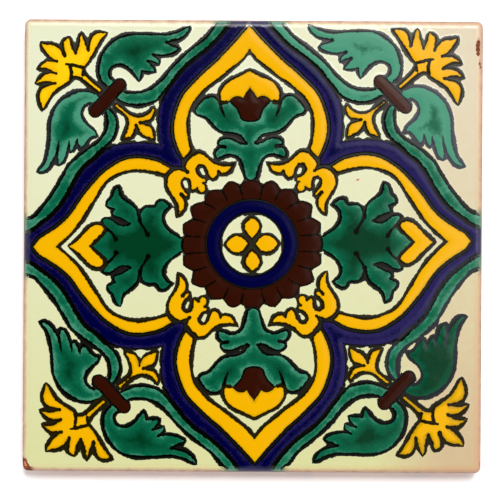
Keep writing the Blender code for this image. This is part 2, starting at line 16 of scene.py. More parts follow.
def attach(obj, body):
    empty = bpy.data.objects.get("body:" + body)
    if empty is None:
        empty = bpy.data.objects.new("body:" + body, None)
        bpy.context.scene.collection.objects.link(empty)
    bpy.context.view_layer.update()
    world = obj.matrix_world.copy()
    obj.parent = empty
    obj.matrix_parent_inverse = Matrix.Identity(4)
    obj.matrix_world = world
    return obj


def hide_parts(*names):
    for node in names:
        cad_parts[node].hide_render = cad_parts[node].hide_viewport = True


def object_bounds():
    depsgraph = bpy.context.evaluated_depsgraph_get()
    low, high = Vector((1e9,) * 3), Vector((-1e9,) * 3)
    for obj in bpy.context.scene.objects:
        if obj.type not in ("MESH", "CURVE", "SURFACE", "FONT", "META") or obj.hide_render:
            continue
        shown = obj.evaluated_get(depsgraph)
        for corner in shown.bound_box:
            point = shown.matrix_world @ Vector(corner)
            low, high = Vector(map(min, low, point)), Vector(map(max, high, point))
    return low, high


bl_info = {
    "name": "Talavera Wall Tile",
    "version": (1, 0, 0),
    "blender": (4, 5, 0),
    "location": "3D View > Sidebar > Tile",
    "description": "Clay, glazes and resist lines of a hand-made wall tile",
    "category": "Object",
}

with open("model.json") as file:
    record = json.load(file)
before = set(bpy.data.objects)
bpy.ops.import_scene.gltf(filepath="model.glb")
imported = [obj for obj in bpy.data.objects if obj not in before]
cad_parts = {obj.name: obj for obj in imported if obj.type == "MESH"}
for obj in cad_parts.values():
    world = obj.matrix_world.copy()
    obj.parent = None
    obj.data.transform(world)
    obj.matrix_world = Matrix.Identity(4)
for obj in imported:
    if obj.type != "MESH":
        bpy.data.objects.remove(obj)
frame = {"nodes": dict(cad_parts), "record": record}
CAD_LOW, CAD_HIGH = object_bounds()

MM = 0.001

# Half sizes of the tile's outline and the height of its highest pool, in millimetres
HALF_X = CAD_HIGH.x / MM
HALF_Y = CAD_HIGH.y / MM
FACE_TOP = CAD_HIGH.z / MM
# Radius of the tile's corners
CORNER = 1.4
# Outline points this close to the tile's edge lie on it
EDGE = 1.0

# The fired glazes sink together, so the ground comes up to just below the pools
GROUND_TOP = FACE_TOP - 0.17
# Height and length of the ground glaze's slow swell
SWELL, SWELL_LENGTH = 0.015, 6.0

# The pattern was laid on slightly off square
PATTERN_TURN = math.radians(1.07)
PATTERN_SHIFT = Vector((-0.18, 0.48))

# The CAD pools stop this far short of the middle of the line round them
CAD_SETBACK = 0.2
RING = "centre_ring"
# The brown pools and the ring run out over their lines
SETBACKS = {RING: 0.55, "rosette": 0.5}
BROWN_SETBACK = 0.28
# Pools at the tile's edge run on this far over the arris
OVER_ARRIS = 0.44
# Lines stop this far short of the tile's edge
LINE_END = 0.85
# Two outlines closer than this share one line, and two lines closer than DRAWN are one
SHARED_LINE, DRAWN = 0.75, 0.35
# Towards a corner, over TAPER_LENGTH, a line narrows by TAPER of its width
TAPER, TAPER_LENGTH = 0.3, 1.2
# A pool has its full colour this far inside its edge
FULL_DEPTH = 4.0
# Height of a pool's edge above the ground glaze; it hides the line's band there
POOL_EDGE_HEIGHT = 0.014
# Half width of the band that holds a line and fades to the ground glaze at both sides
LINE_BAND = 1.0
# An outline turning more than this at a point has a corner there
CORNER_TURN = math.radians(62)
# Sharper edges than this aren't shaded smooth
SHARP_ANGLE = math.radians(35)

# Spacing of the points on outlines and strokes
SPACING = 0.32

# How far blue and green glaze run sideways down the arris
RUN_WIDTH = 1.8

# Roughness of fired glaze, and of thin glaze over the arris
POLISH, DULL = 0.1, 0.5

# Height of the clay, how far it stays inside the glaze, and its upper and lower arris
CLAY_TOP, CLAY_INSET, CLAY_ARRISES = 6.1, 0.2, (0.9, 0.5)

SLOT_OF = {row["node"]: row["material_slot"] for row in frame["record"]["subparts"]}
POOLS = [name for name, slot in SLOT_OF.items() if name not in ("clay_body", "ground_glaze")]

# How much deeper (positive) or paler (negative) than the rest a pool was laid on; the pale tones at the top right
# are partly that and partly a painted reflection of the light at the right
TONES_AND_SHEEN = {
    "centre_ring": 0.4, "centre_petal": 0.2, "rosette": 0.1, "bud": -0.02, "trefoil": 0.03,
    "left_tip_petal": 0.03, "right_tip_petal": 0.03, "clasp_top_right": -0.6, "corner_flower_top_left": 0.6,
    "corner_flower_bottom_left": -0.06, "corner_flower_bottom_right": -0.12, "side_leaf_top_left": -0.25,
    "upper_leaf_top_right": -0.6, "side_leaf_top_right": -0.45, "upper_leaf_bottom_left": 0.1,
    "side_leaf_bottom_left": -0.05, "upper_leaf_bottom_right": 0.2, "side_leaf_bottom_right": 0.6,
    "upper_stem_top_right": -0.25, "upper_stem_bottom_right": 0.05, "side_stem_bottom_right": 0.1,
    "side_stem_top_right": 0.05, "left_palmette": 0.22, "right_palmette": 0.18,
}

QUARTERS = ((1, 1), (-1, 1), (-1, -1), (1, -1))

# Brush strokes inside the pools: points (x, y, half width) in the pattern's frame, for the quarter at +X +Y
FLOWER_STROKES = (
    ((37.6, 40.9, 0.35), (39.0, 41.1, 0.4), (40.5, 41.5, 0.4), (42.0, 41.7, 0.25)),
    ((41.2, 41.3, 0.3), (40.9, 40.4, 0.4), (40.8, 39.4, 0.4), (41.0, 38.4, 0.4)),
    ((37.9, 40.7, 0.35), (38.1, 39.8, 0.4), (38.2, 39.2, 0.4)),
    ((38.3, 39.2, 0.2), (37.6, 39.1, 0.2), (36.9, 38.4, 0.2), (36.0, 37.5, 0.2), (35.0, 36.7, 0.2),
     (34.2, 36.0, 0.2), (33.7, 35.5, 0.2)),
    ((40.8, 38.5, 0.2), (39.6, 38.8, 0.2), (38.6, 38.5, 0.2), (37.8, 37.9, 0.2), (36.8, 37.1, 0.2),
     (35.9, 36.3, 0.2), (35.0, 35.6, 0.2), (34.2, 34.9, 0.2)),
)
SIDE_LEAF_STROKES = (
    ((44.5, 20.6, 0.4), (44.2, 22.0, 0.35), (43.9, 24.2, 0.15)),
    ((41.7, 22.4, 0.4), (41.5, 24.2, 0.15)),
    ((39.8, 23.6, 0.4), (39.6, 24.7, 0.15)),
)
FOLIAGE_STROKES = (
    ((6.9, 32.4, 0.45), (6.7, 31.5, 0.4), (6.45, 30.6, 0.35), (6.1, 29.8, 0.25), (5.8, 29.0, 0.12)),
    ((1.2, 23.2, 0.45), (1.4, 23.2, 0.65), (1.6, 23.2, 0.45)),
    ((6.1, 22.4, 0.3), (6.6, 22.5, 0.35), (7.1, 22.5, 0.35)),
)
PALMETTE_STROKES = (
    ((25.75, 7.4, 0.35), (25.6, 6.0, 0.4), (25.3, 5.0, 0.35), (24.8, 4.2, 0.3), (24.2, 3.2, 0.35),
     (23.8, 2.5, 0.6)),
    ((33.4, 4.0, 0.4), (32.6, 3.5, 0.35), (31.9, 2.8, 0.3), (31.4, 2.1, 0.35), (31.1, 1.5, 0.55)),
    ((28.2, 5.0, 0.4), (28.5, 5.0, 0.55), (28.8, 5.0, 0.4)),
    ((22.1, 9.6, 0.3), (22.2, 9.6, 0.4), (22.3, 9.6, 0.3)),
)
# Joins between the petals of the rosette
ROSETTE_STROKES = (
    ((2.6, 12.9, 0.25), (2.2, 11.5, 0.2), (2.0, 10.4, 0.15)),
    ((6.5, 12.0, 0.25), (5.9, 10.9, 0.2), (5.3, 9.8, 0.15)),
    ((10.5, 9.4, 0.25), (8.9, 8.6, 0.2), (8.2, 7.9, 0.15)),
    ((12.9, 5.8, 0.25), (11.5, 5.4, 0.2), (10.3, 5.0, 0.15)),
    ((14.7, 2.0, 0.25), (13.0, 1.9, 0.2), (10.8, 1.8, 0.15)),
)

# Each set of strokes and its tint: above 0 olive from yellow glaze, below 0 grey, partly line fired away and
# partly a painted reflection of the light at the right
STROKES = ((FLOWER_STROKES, 1.0), (SIDE_LEAF_STROKES, -0.35), (FOLIAGE_STROKES, 0.0),
           (PALMETTE_STROKES, 0.0), (ROSETTE_STROKES, 0.0))
# Tints of the lines round some pools, which would be black or olive otherwise; their grey, mostly at the right of
# the tile, is partly line fired away and partly a painted reflection of the light there
LINE_TINTS = {"side_leaf_top_right": -0.45, "side_leaf_bottom_right": -0.15, "side_leaf_top_left": -0.1,
              "upper_leaf_top_right": -0.15, "side_stem_bottom_right": -0.2}


def linear(hex_colour):
    """The linear value of an sRGB hex colour."""
    channels = [int(hex_colour[i:i + 2], 16) / 255 for i in (1, 3, 5)]
    return tuple(c / 12.92 if c <= 0.04045 else ((c + 0.055) / 1.055) ** 2.4 for c in channels)


def length(name, default, description):
    """A length property, kept in metres."""
    return FloatProperty(name=name, description=description, default=default * MM, min=0.0, precision=5,
                         unit="LENGTH", subtype="DISTANCE")


def colour(name, hex_colour, description):
    """A colour property."""
    return FloatVectorProperty(name=name, description=description, default=linear(hex_colour), size=3,
                               min=0.0, max=1.0, subtype="COLOR")


class TILE_PG_sizes(PropertyGroup):
    """Sizes of the glazes and lines."""
    arris: length("Arris", 1.25, "Radius of the glazed edge round the face")
    glaze_lip: length("Glaze lip", 1.0, "How far the ground glaze runs down the sides")
    pool_rise: length("Pool rise", 0.04, "Height of a pool above its edge")
    shoulder: length("Shoulder", 1.8, "Width of a pool's rounded edge")
    line_half: length("Line", 0.46, "Half width of a line between a pool and the ground")
    brown_line_half: length("Brown line", 0.2, "Half width of the dark edge of a brown pool")
    thin_line_half: length("Thin line", 0.3, "Half width of the line between yellow and blue")
    wide_line_half: length("Wide line", 0.54, "Half width of the line between blue and green")
    line_height: length("Line height", 0.01, "Height of a line above the ground glaze")


class TILE_PG_colours(PropertyGroup):
    """Colours of the clay and the glazes."""
    clay: colour("Clay", "#CC7A4E", "Fired terracotta")
    slip: colour("Slip", "#DCA078", "Pale smears on the clay")
    # Darkest clay; on the walls of the chips and flakes its darkness is partly painted shade in the hollow
    chip_and_shade: colour("Broken clay", "#773E1F", "Terracotta where it is broken")
    cream: colour("Cream", "#C6CAAE", "Ground glaze")
    # Partly the ground glaze's own tint, partly a painted reflection of the light at the right
    cream_warm: colour("Warm cream", "#BCBE8C", "Ground glaze at the lower left")
    blush: colour("Blush", "#F7E8EA", "Tints the ground glaze at the right")
    flush: colour("Flush", "#FFDFCE", "Tints the ground glaze where the clay shows through it near the rim")
    rose: colour("Rose", "#FFF0FF", "Tints the ground glaze at the lower right")
    rim_dark: colour("Dark rim", "#89644E", "Bare arris with a trace of glaze")
    rim: colour("Rim", "#AE8970", "Ground glaze where it is thin over the arris")
    yellow: colour("Yellow", "#D19A00", "Yellow glaze")
    yellow_light: colour("Light yellow", "#D7B109", "Yellow glaze where it is laid on thick")
    yellow_thin: colour("Thin yellow", "#A88001", "Yellow glaze beside a line")
    green_pale: colour("Pale green", "#3C7F65", "Green glaze where it is thin")
    green: colour("Green", "#07563C", "Green glaze")
    green_deep: colour("Deep green", "#00311A", "Green glaze where it is deep")
    # Pale over the arris: partly thin glaze, partly a painted reflection of the rounded edge
    green_rim_and_sheen: colour("Worn green", "#668071", "Green glaze over the arris")
    blue_rim_and_sheen: colour("Worn blue", "#2E294E", "Blue glaze over the arris")
    blue: colour("Blue", "#000030", "Blue glaze")
    blue_thin: colour("Thin blue", "#1E1848", "Blue glaze where it is thin")
    brown: colour("Brown", "#290A02", "Brown glaze")
    brown_thin: colour("Thin brown", "#3C231C", "Brown glaze where it is thin")
    line: colour("Line", "#020300", "Resist line")
    # Grey that the lines turn at the right: partly line fired away, partly a painted reflection of the light there
    line_grey_and_sheen: colour("Grey line", "#4A4E58", "Resist line half fired away")
    line_olive: colour("Olive line", "#161100", "Resist line beside yellow")


class TILE_PG_stage(PropertyGroup):
    """Camera, lights and floor."""
    view_width: length("View width", 114.35, "Width of the face that the camera takes in")
    lens: FloatProperty(name="Lens", description="Focal length", default=0.15, min=0.01, unit="CAMERA")
    roll: FloatProperty(name="Roll", description="Turn of the camera about its axis", default=math.radians(0.33),
                        subtype="ANGLE")
    key: FloatProperty(name="Key", description="Power of the key light", default=54.0, min=0.0, unit="POWER")
    pane: FloatProperty(name="Pane", description="Radiance of the pale panes that the glaze reflects",
                        default=0.5, min=0.0)
    sky: FloatProperty(name="Sky", description="Brightness of the room low down", default=0.95, min=0.0)
    zenith: FloatProperty(name="Zenith", description="Brightness of the room overhead, to the right",
                          default=0.25, min=0.0)


# ---------------------------------------------------------------- outlines

def signed_area(points):
    """Area inside a closed outline, positive where it runs counter-clockwise."""
    return 0.5 * sum(a.x * b.y - b.x * a.y for a, b in zip(points, points[1:] + points[:1]))


def cad_outlines(node):
    """Closed outlines of a CAD plate's upper face in millimetres, with the plate on their left."""
    bm = bmesh.new()
    bm.from_mesh(frame["nodes"][node].data)
    bmesh.ops.remove_doubles(bm, verts=bm.verts, dist=MM * MM)
    bm.normal_update()
    rim = {e.index: e for e in bm.edges if sum(f.normal.z > 0.9 for f in e.link_faces) == 1}
    loops = []
    while rim:
        edge = rim.pop(min(rim))
        loop, here = [edge.verts[0]], edge.verts[1]
        while here is not loop[0]:
            loop.append(here)
            edge = next(e for e in here.link_edges if e.index in rim)
            del rim[edge.index]
            here = edge.other_vert(here)
        loops.append([v.co.xy / MM for v in loop])
    bm.free()
    loops.sort(key=lambda loop: -abs(signed_area(loop)))
    for i, loop in enumerate(loops):
        if (signed_area(loop) > 0) != (i == 0):
            loop.reverse()
    return loops


def edge_distance(x, y):
    """How far inside the tile's outline a point lies."""
    past_x, past_y = abs(x) - (HALF_X - CORNER), abs(y) - (HALF_Y - CORNER)
    if past_x > 0 and past_y > 0:
        return CORNER - math.hypot(past_x, past_y)
    return CORNER - max(past_x, past_y)


def smooth_outline(points, spacing):
    """A closed outline through the points, rounded everywhere but at its corners."""
    count = len(points)
    sides = [(points[(i + 1) % count] - points[i]) for i in range(count)]
    tangents = []
    for i in range(count):
        into, out = sides[i - 1], sides[i]
        on_edge = [edge_distance(*points[k % count]) < EDGE for k in (i - 1, i, i + 1)]
        if into.angle(out) > CORNER_TURN or (on_edge[1] and not all(on_edge)):
            tangents.append((into.normalized(), out.normalized()))
        else:
            tangent = (into.normalized() * out.length + out.normalized() * into.length).normalized()
            tangents.append((tangent, tangent))
    result = []
    for i in range(count):
        start, end, chord = points[i], points[(i + 1) % count], sides[i].length
        # A long side stays straight but for its ends, next to short ones
        leave = tangents[i][1] * min(chord, 2 * sides[i - 1].length)
        arrive = tangents[(i + 1) % count][0] * min(chord, 2 * sides[(i + 1) % count].length)
        steps = max(1, round(chord / spacing))
        for step in range(steps):
            t = step / steps
            result.append(start * (2 * t ** 3 - 3 * t ** 2 + 1) + leave * (t ** 3 - 2 * t ** 2 + t)
                          + end * (3 * t ** 2 - 2 * t ** 3) + arrive * (t ** 3 - t ** 2))
    return result


def left_normals(points):
    """The direction to the left of a closed outline at each of its points."""
    normals = []
    for before, here, after in zip([points[-1]] + points[:-1], points, points[1:] + points[:1]):
        along = (here - before).normalized() + (after - here).normalized()
        if along.length < 0.2:
            along = (after - here)
        normals.append(Vector((-along.y, along.x)).normalized())
    return normals


def tree_of(points):
    """A search tree of flat points."""
    tree = kdtree.KDTree(len(points))
    for i, point in enumerate(points):
        tree.insert((*point, 0.0), i)
    tree.balance()
    return tree


def gap(tree, point):
    """Distance from a flat point to the nearest point of a tree."""
    return tree.find((*point, 0.0))[2]


def wave(x, y, size, seed=0.0):
    """Smooth noise between -1 and 1 with humps about size millimetres apart."""
    return noise.noise(Vector((x / size, y / size, seed)))


def face_height(x, y):
    """Height of the ground glaze, which rounds off at the arris and is never quite flat."""
    arris = bpy.context.scene.tile_sizes.arris / MM
    inside = min(max(edge_distance(x, y), 0.0), arris)
    fall = arris - math.sqrt(arris ** 2 - (arris - inside) ** 2)
    return GROUND_TOP - fall + SWELL * wave(x, y, SWELL_LENGTH)


OUTLINES = {name: [smooth_outline(loop, SPACING) for loop in cad_outlines(name)] for name in POOLS}
GLAZE_TREES = {
    glaze: tree_of([p for name in POOLS if SLOT_OF[name] == glaze for loop in OUTLINES[name] for p in loop])
    for glaze in ("yellow_glaze", "blue_glaze", "green_glaze", "brown_glaze")
}
FIELD = {}


def setback(name):
    """How far the middle of a pool's line lies outside its outline; brown runs out over it."""
    return SETBACKS.get(name, BROWN_SETBACK if SLOT_OF[name] == "brown_glaze" else CAD_SETBACK)


def line_beside(name, point):
    """Half width in millimetres of the line beside a point of a pool's outline, and its tint."""
    sizes = bpy.context.scene.tile_sizes
    pair = {SLOT_OF[name]} | {glaze for glaze, tree in GLAZE_TREES.items() if gap(tree, point) < SHARED_LINE}
    half = sizes.line_half * (1.0 + 0.55 * wave(*point, 4.0, 8.0))
    if "brown_glaze" in pair or pair == {"blue_glaze"} and name != RING:
        half = sizes.brown_line_half
    elif name == RING or pair >= {"yellow_glaze", "blue_glaze"}:
        half = sizes.thin_line_half
    elif pair >= {"green_glaze", "blue_glaze"}:
        half = sizes.wide_line_half
    olive = float("yellow_glaze" in pair and "blue_glaze" not in pair)
    return half / MM, LINE_TINTS.get(name, olive)


def to_tile(x, y, sx, sy):
    """A point of the pattern's +X +Y quarter, carried to a quarter of the tile."""
    return Matrix.Rotation(PATTERN_TURN, 2) @ Vector((x * sx, y * sy)) + PATTERN_SHIFT


def fine_stroke(stroke):
    """A brush stroke as closely spaced points on a smooth curve."""
    points = [Vector(p) for p in stroke]
    ends = [2 * points[0] - points[1], *points, 2 * points[-1] - points[-2]]
    fine = [points[-1]]
    for before, start, end, after in zip(ends, ends[1:], ends[2:], ends[3:]):
        steps = max(1, round((end - start).length / SPACING))
        for step in range(steps):
            t = step / steps
            fine.append(0.5 * (2 * start + (end - before) * t
                               + (2 * before - 5 * start + 4 * end - after) * t * t
                               + (3 * start - before - 3 * end + after) * t ** 3))
    return fine


def sharp_points(loop):
    """The corners of an outline, where the brush starts and ends."""
    span, found = 3, [Vector((999.0, 999.0))]
    for i, p in enumerate(loop):
        arrive, leave = p - loop[i - span], loop[(i + span) % len(loop)] - p
        if arrive.length > 1e-3 and leave.length > 1e-3 and arrive.angle(leave) > 1.2:
            found.append(p)
    return tree_of(found)


def line_centres(name):
    """The middle of the line round each outline of a pool."""
    return [[p - n * setback(name) for p, n in zip(loop, left_normals(loop))] for loop in OUTLINES[name]]


def build_field():
    """The middles of all lines and strokes, with their half widths and tints."""
    marks = []
    for name in POOLS:
        for loop in line_centres(name):
            sharp = sharp_points(loop)
            for p in loop:
                if edge_distance(*p) > LINE_END:
                    half, tint = line_beside(name, p)
                    if not name.startswith("centre_petal"):
                        half *= 1 - TAPER + TAPER * min(gap(sharp, p) / TAPER_LENGTH, 1.0)
                    marks.append((p, half, tint))
    # The lines of the four petals meet in a blot
    marks.append((to_tile(0.0, 0.0, 1, 1), 0.55, 1.0))
    FIELD["outlines"] = len(marks)
    for strokes, tint in STROKES:
        for stroke in strokes:
            for p in fine_stroke(stroke):
                # Only lines at the right of the tile turn grey: partly fired away, partly a painted reflection of
                # the light at the right
                marks += [(to_tile(p.x, p.y, sx, sy), p.z, tint if sx > 0 else max(tint, 0.0))
                          for sx, sy in QUARTERS]
    FIELD["marks"] = marks
    FIELD["tree"] = tree_of([mark[0] for mark in marks])
    FIELD["strokes"] = tree_of([mark[0] for mark in marks[FIELD["outlines"]:]])


def line_at(x, y, outlines_only=False):
    """Distance from the nearest line in its half widths, and its tint."""
    nearest = (9.0, 0.0)
    for place, index, distance in FIELD["tree"].find_n((x, y, 0.0), 4):
        if outlines_only and index >= FIELD["outlines"]:
            continue
        _, half, tint = FIELD["marks"][index]
        nearest = min(nearest, (distance / half, tint))
    return nearest


# ---------------------------------------------------------------- making meshes

def finish_piece(name, bm, materials, replaced=None):
    """An object from a bmesh in millimetres, which rides on the tile."""
    bm.normal_update()
    for edge in bm.edges:
        edge.smooth = edge.calc_face_angle(math.pi) < SHARP_ANGLE
    for face in bm.faces:
        face.smooth = True
    bmesh.ops.scale(bm, verts=bm.verts, vec=(MM, MM, MM))
    mesh = bpy.data.meshes.new(name)
    bm.to_mesh(mesh)
    bm.free()
    for material in materials:
        mesh.materials.append(material)
    piece = bpy.data.objects.new(name, mesh)
    bpy.context.scene.collection.objects.link(piece)
    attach(piece, "root")
    if replaced:
        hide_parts(replaced)
    return piece


def refine(bm, spacing_at):
    """Breaks up the long inner edges of a flat sheet until its points lie as close as spacing_at says."""
    for _ in range(14):
        long_edges = [e for e in bm.edges if not e.is_boundary
                      and e.calc_length() > 1.6 * spacing_at((e.verts[0].co + e.verts[1].co) / 2)]
        if not long_edges:
            break
        bmesh.ops.subdivide_edges(bm, edges=long_edges, cuts=1)
        bmesh.ops.triangulate(bm, faces=[f for f in bm.faces if len(f.verts) > 3])
        bmesh.ops.beautify_fill(bm, faces=bm.faces[:], edges=[e for e in bm.edges if not e.is_boundary])
        bmesh.ops.smooth_vert(bm, verts=[v for v in bm.verts if not v.is_boundary], factor=0.4,
                              use_axis_x=True, use_axis_y=True)


def pool_edge(loop, out):
    """Where a pool ends: in the middle of its line, or out over the arris."""
    tree = tree_of(loop)
    result = []
    for point, normal in zip(loop, left_normals(loop)):
        if edge_distance(*point) < EDGE:
            result.append(point + Vector([math.copysign(OVER_ARRIS, at) if abs(at) > half - EDGE else 0.0
                                          for at, half in zip(point, (HALF_X, HALF_Y))]))
            continue
        moved = point - normal * out
        if gap(tree, moved) > 0.9 * out:
            result.append(moved)
    return result


def make_pool(name, material):
    """One pool of glaze, its edge rounded down to the line."""
    sizes = bpy.context.scene.tile_sizes
    loops = [pool_edge(loop, setback(name)) for loop in OUTLINES[name]]
    shore = tree_of([p for loop in loops for p in loop if edge_distance(*p) > 0.6])
    strokes = FIELD["strokes"]
    bm = bmesh.new()
    depth, tone, line, line_tint, edge = (bm.verts.layers.float.new(layer) for layer in (
        "pool_depth", "pool_tone", "line", "line_tint", "edge"))
    edges = []
    for loop in loops:
        verts = [bm.verts.new((*p, 0.0)) for p in loop]
        edges += [bm.edges.new(pair) for pair in zip(verts, verts[1:] + verts[:1])]
    bmesh.ops.triangle_fill(bm, use_beauty=True, use_dissolve=False, edges=edges)
    refine(bm, lambda co: 0.25 if min(gap(shore, co.xy), gap(strokes, co.xy)) < 0.8 else 0.55)
    bottom = bm.verts[:]
    raised = bmesh.ops.extrude_face_region(bm, geom=bm.faces[:], use_keep_orig=True)
    top = [item for item in raised["geom"] if isinstance(item, bmesh.types.BMVert)]
    shoulder = sizes.shoulder / MM
    # The pale tones at the top right are partly painted reflection
    fill_and_sheen = next((value for start, value in TONES_AND_SHEEN.items() if name.startswith(start)), 0.0)
    # A brown pool overlaps the edges of its neighbours
    edge_height = POOL_EDGE_HEIGHT * (2.5 if SLOT_OF[name] == "brown_glaze" else 1.0)
    for v in bottom:
        v.co.z = face_height(v.co.x, v.co.y) - 0.2
    for v in top:
        off_shore = gap(shore, v.co.xy)
        near = 1 - min(off_shore / shoulder, 1.0)
        rise = sizes.pool_rise / MM * (1 - near ** 2 * (3 - 2 * near)) * (1 + 0.3 * wave(v.co.x, v.co.y, 5.0, 2.0))
        v[depth] = min(off_shore / FULL_DEPTH, 1.0)
        v[tone] = fill_and_sheen
        v[edge] = max(0.0, min(edge_distance(*v.co.xy) / 2, 1.0))
        v[line], v[line_tint] = line_at(v.co.x, v.co.y)
        v.co.z = face_height(v.co.x, v.co.y) + edge_height + rise
    bmesh.ops.recalc_face_normals(bm, faces=bm.faces)
    return finish_piece(name + "_glaze", bm, [material], name)


# ---------------------------------------------------------------- lines

def fresh_runs(name, drawn):
    """Runs of line round one pool, without the tile's edge and what a neighbour has drawn already."""
    runs, new = [], []
    tree = tree_of(drawn) if drawn else None
    for points in line_centres(name):
        keep = [edge_distance(*p) > LINE_END and (tree is None or gap(tree, p) > DRAWN) for p in points]
        new += [p for p, kept in zip(points, keep) if kept]
        if all(keep):
            runs.append((points, True))
            continue
        start, run = keep.index(False), []
        for i in range(len(points) + 1):
            at = (start + i) % len(points)
            if keep[at]:
                run.append(points[at])
            elif run:
                runs.append((run, False))
                run = []
    return [run for run in runs if len(run[0]) > 2], new


def make_lines(name, runs, material):
    """Flat bands along the lines, which carry their dark middles and fade to the ground glaze at both sides."""
    data = bpy.data.curves.new(name, "CURVE")
    data.dimensions = "3D"
    data.bevel_depth = 1.0
    data.bevel_resolution = 2
    data.use_fill_caps = True
    for points, closed in runs:
        spline = data.splines.new("POLY")
        spline.points.add(len(points) - 1)
        for target, point in zip(spline.points, points):
            target.co = (*point, 0.0, 1.0)
            target.radius = LINE_BAND
        spline.use_cyclic_u = closed
    curve = bpy.data.objects.new(name, data)
    bpy.context.scene.collection.objects.link(curve)
    mesh = bpy.data.meshes.new_from_object(curve.evaluated_get(bpy.context.evaluated_depsgraph_get()))
    bpy.data.objects.remove(curve)
    bm = bmesh.new()
    bm.from_mesh(mesh)
    bpy.data.meshes.remove(mesh)
    line, line_tint = (bm.verts.layers.float.new(layer) for layer in ("line", "line_tint"))
    height = bpy.context.scene.tile_sizes.line_height / MM
    for v in bm.verts:
        v[line], v[line_tint] = line_at(v.co.x, v.co.y, True)
        rise = height * (2 * v.co.z / LINE_BAND - 1)
        v.co.x, v.co.y = max(-HALF_X, min(v.co.x, HALF_X)), max(-HALF_Y, min(v.co.y, HALF_Y))
        v.co.z = face_height(v.co.x, v.co.y) + rise
    bmesh.ops.recalc_face_normals(bm, faces=bm.faces)
    return finish_piece(name, bm, [material])


# ---------------------------------------------------------------- materials

# The output that is wanted from each kind of node, unless another is named
OUTPUTS = {"Attribute": "Fac", "Bump": "Normal", "MapRange": "Result", "Mapping": "Vector", "Math": "Value",
           "Mix": "Result", "TexNoise": "Fac", "ValToRGB": "Color"}

ADD = {"operation": "ADD"}
MULTIPLY_ADD = {"operation": "MULTIPLY_ADD"}
SMOOTH = {"interpolation_type": "SMOOTHSTEP"}
RGBA = {"data_type": "RGBA"}
TINT = {"data_type": "RGBA", "blend_type": "MULTIPLY"}


def add_node(tree, kind, settings=None, inputs=None, stops=None, output=None):
    """The output of a new node with its settings, its inputs as values or the sockets that feed them, and a
    ramp's stops."""
    node = tree.nodes.new("ShaderNode" + kind)
    for name, value in (settings or {}).items():
        setattr(node, name, value)
    for name, value in (inputs or {}).items():
        if isinstance(value, bpy.types.NodeSocket):
            tree.links.new(value, node.inputs[name])
        else:
            node.inputs[name].default_value = value
    if stops:
        ramp = node.color_ramp.elements
        while len(ramp) < len(stops):
            ramp.new(0.5)
        for element, (position, value) in zip(ramp, stops):
            element.position = position
            element.color = (*value, 1.0)
    return node.outputs[output or OUTPUTS[kind]]


def new_material(name, roughness, ior=1.5):
    """A material with its shader, and object coordinates in millimetres."""
    material = bpy.data.materials.new(name)
    material.use_nodes = True
    tree = material.node_tree
    shader = tree.nodes["Principled BSDF"]
    shader.inputs["Roughness"].default_value = roughness
    shader.inputs["IOR"].default_value = ior
    here = add_node(tree, "TexCoord", output="Object")
    place = add_node(tree, "Mapping", inputs={"Vector": here, "Scale": (1 / MM, 1 / MM, 1 / MM)})
    return material, tree, shader, place


def over_line(tree, place, body):
    """The body colour with the resist line over it, its edge ragged as the brush left it."""
    colours = bpy.context.scene.tile_colours
    line = add_node(tree, "Attribute", {"attribute_name": "line"})
    shade = add_node(tree, "Attribute", {"attribute_name": "line_tint"})
    # A negative tint greys the line: partly line fired away, partly a painted reflection of the light at the right
    grey = add_node(tree, "Math", {"operation": "MULTIPLY", "use_clamp": True}, {0: shade, 1: -1.0})
    # Brush hairs and grease nick the edge about every 0.7 mm, with finer nicks between
    ragged = add_node(tree, "TexNoise", inputs={"Vector": place, "Scale": 1 / 0.7, "Detail": 3.0,
                                                "Roughness": 0.65})
    uneven = add_node(tree, "Math", MULTIPLY_ADD, {0: ragged, 1: -1.3, 2: 0.65})
    inside = add_node(tree, "Math", ADD, {0: line, 1: uneven})
    bare = add_node(tree, "MapRange", SMOOTH, {"Value": inside, "From Min": 0.9, "From Max": 1.2})
    dark = add_node(tree, "Mix", RGBA, {"Factor": shade, "A": (*colours.line, 1), "B": (*colours.line_olive, 1)})
    greyed_line = add_node(tree, "Mix", RGBA, {"Factor": grey, "A": dark, "B": (*colours.line_grey_and_sheen, 1)})
    return add_node(tree, "Mix", RGBA, {"Factor": bare, "A": greyed_line, "B": body})


def worn_rim(tree, place, shader, polish):
    """How far in from the tile's edge the glaze is, and how fully it covers; over the arris it is also dull."""
    edge = add_node(tree, "Attribute", {"attribute_name": "edge"})
    # Runs and bare spots about 2 mm across
    ragged = add_node(tree, "TexNoise", inputs={"Vector": place, "Scale": 0.45, "Detail": 5.0, "Roughness": 0.65})
    thin = add_node(tree, "Math", MULTIPLY_ADD, {0: ragged, 1: 0.6, 2: -0.3})
    inward = add_node(tree, "Math", ADD, {0: edge, 1: thin})
    cover = add_node(tree, "MapRange", SMOOTH, {"Value": inward, "From Min": 0.1, "From Max": 0.55})
    dull = add_node(tree, "MapRange", inputs={"Value": inward, "From Min": 0.45, "From Max": 0.9,
                                              "To Min": DULL, "To Max": polish})
    tree.links.new(dull, shader.inputs["Roughness"])
    return inward, cover


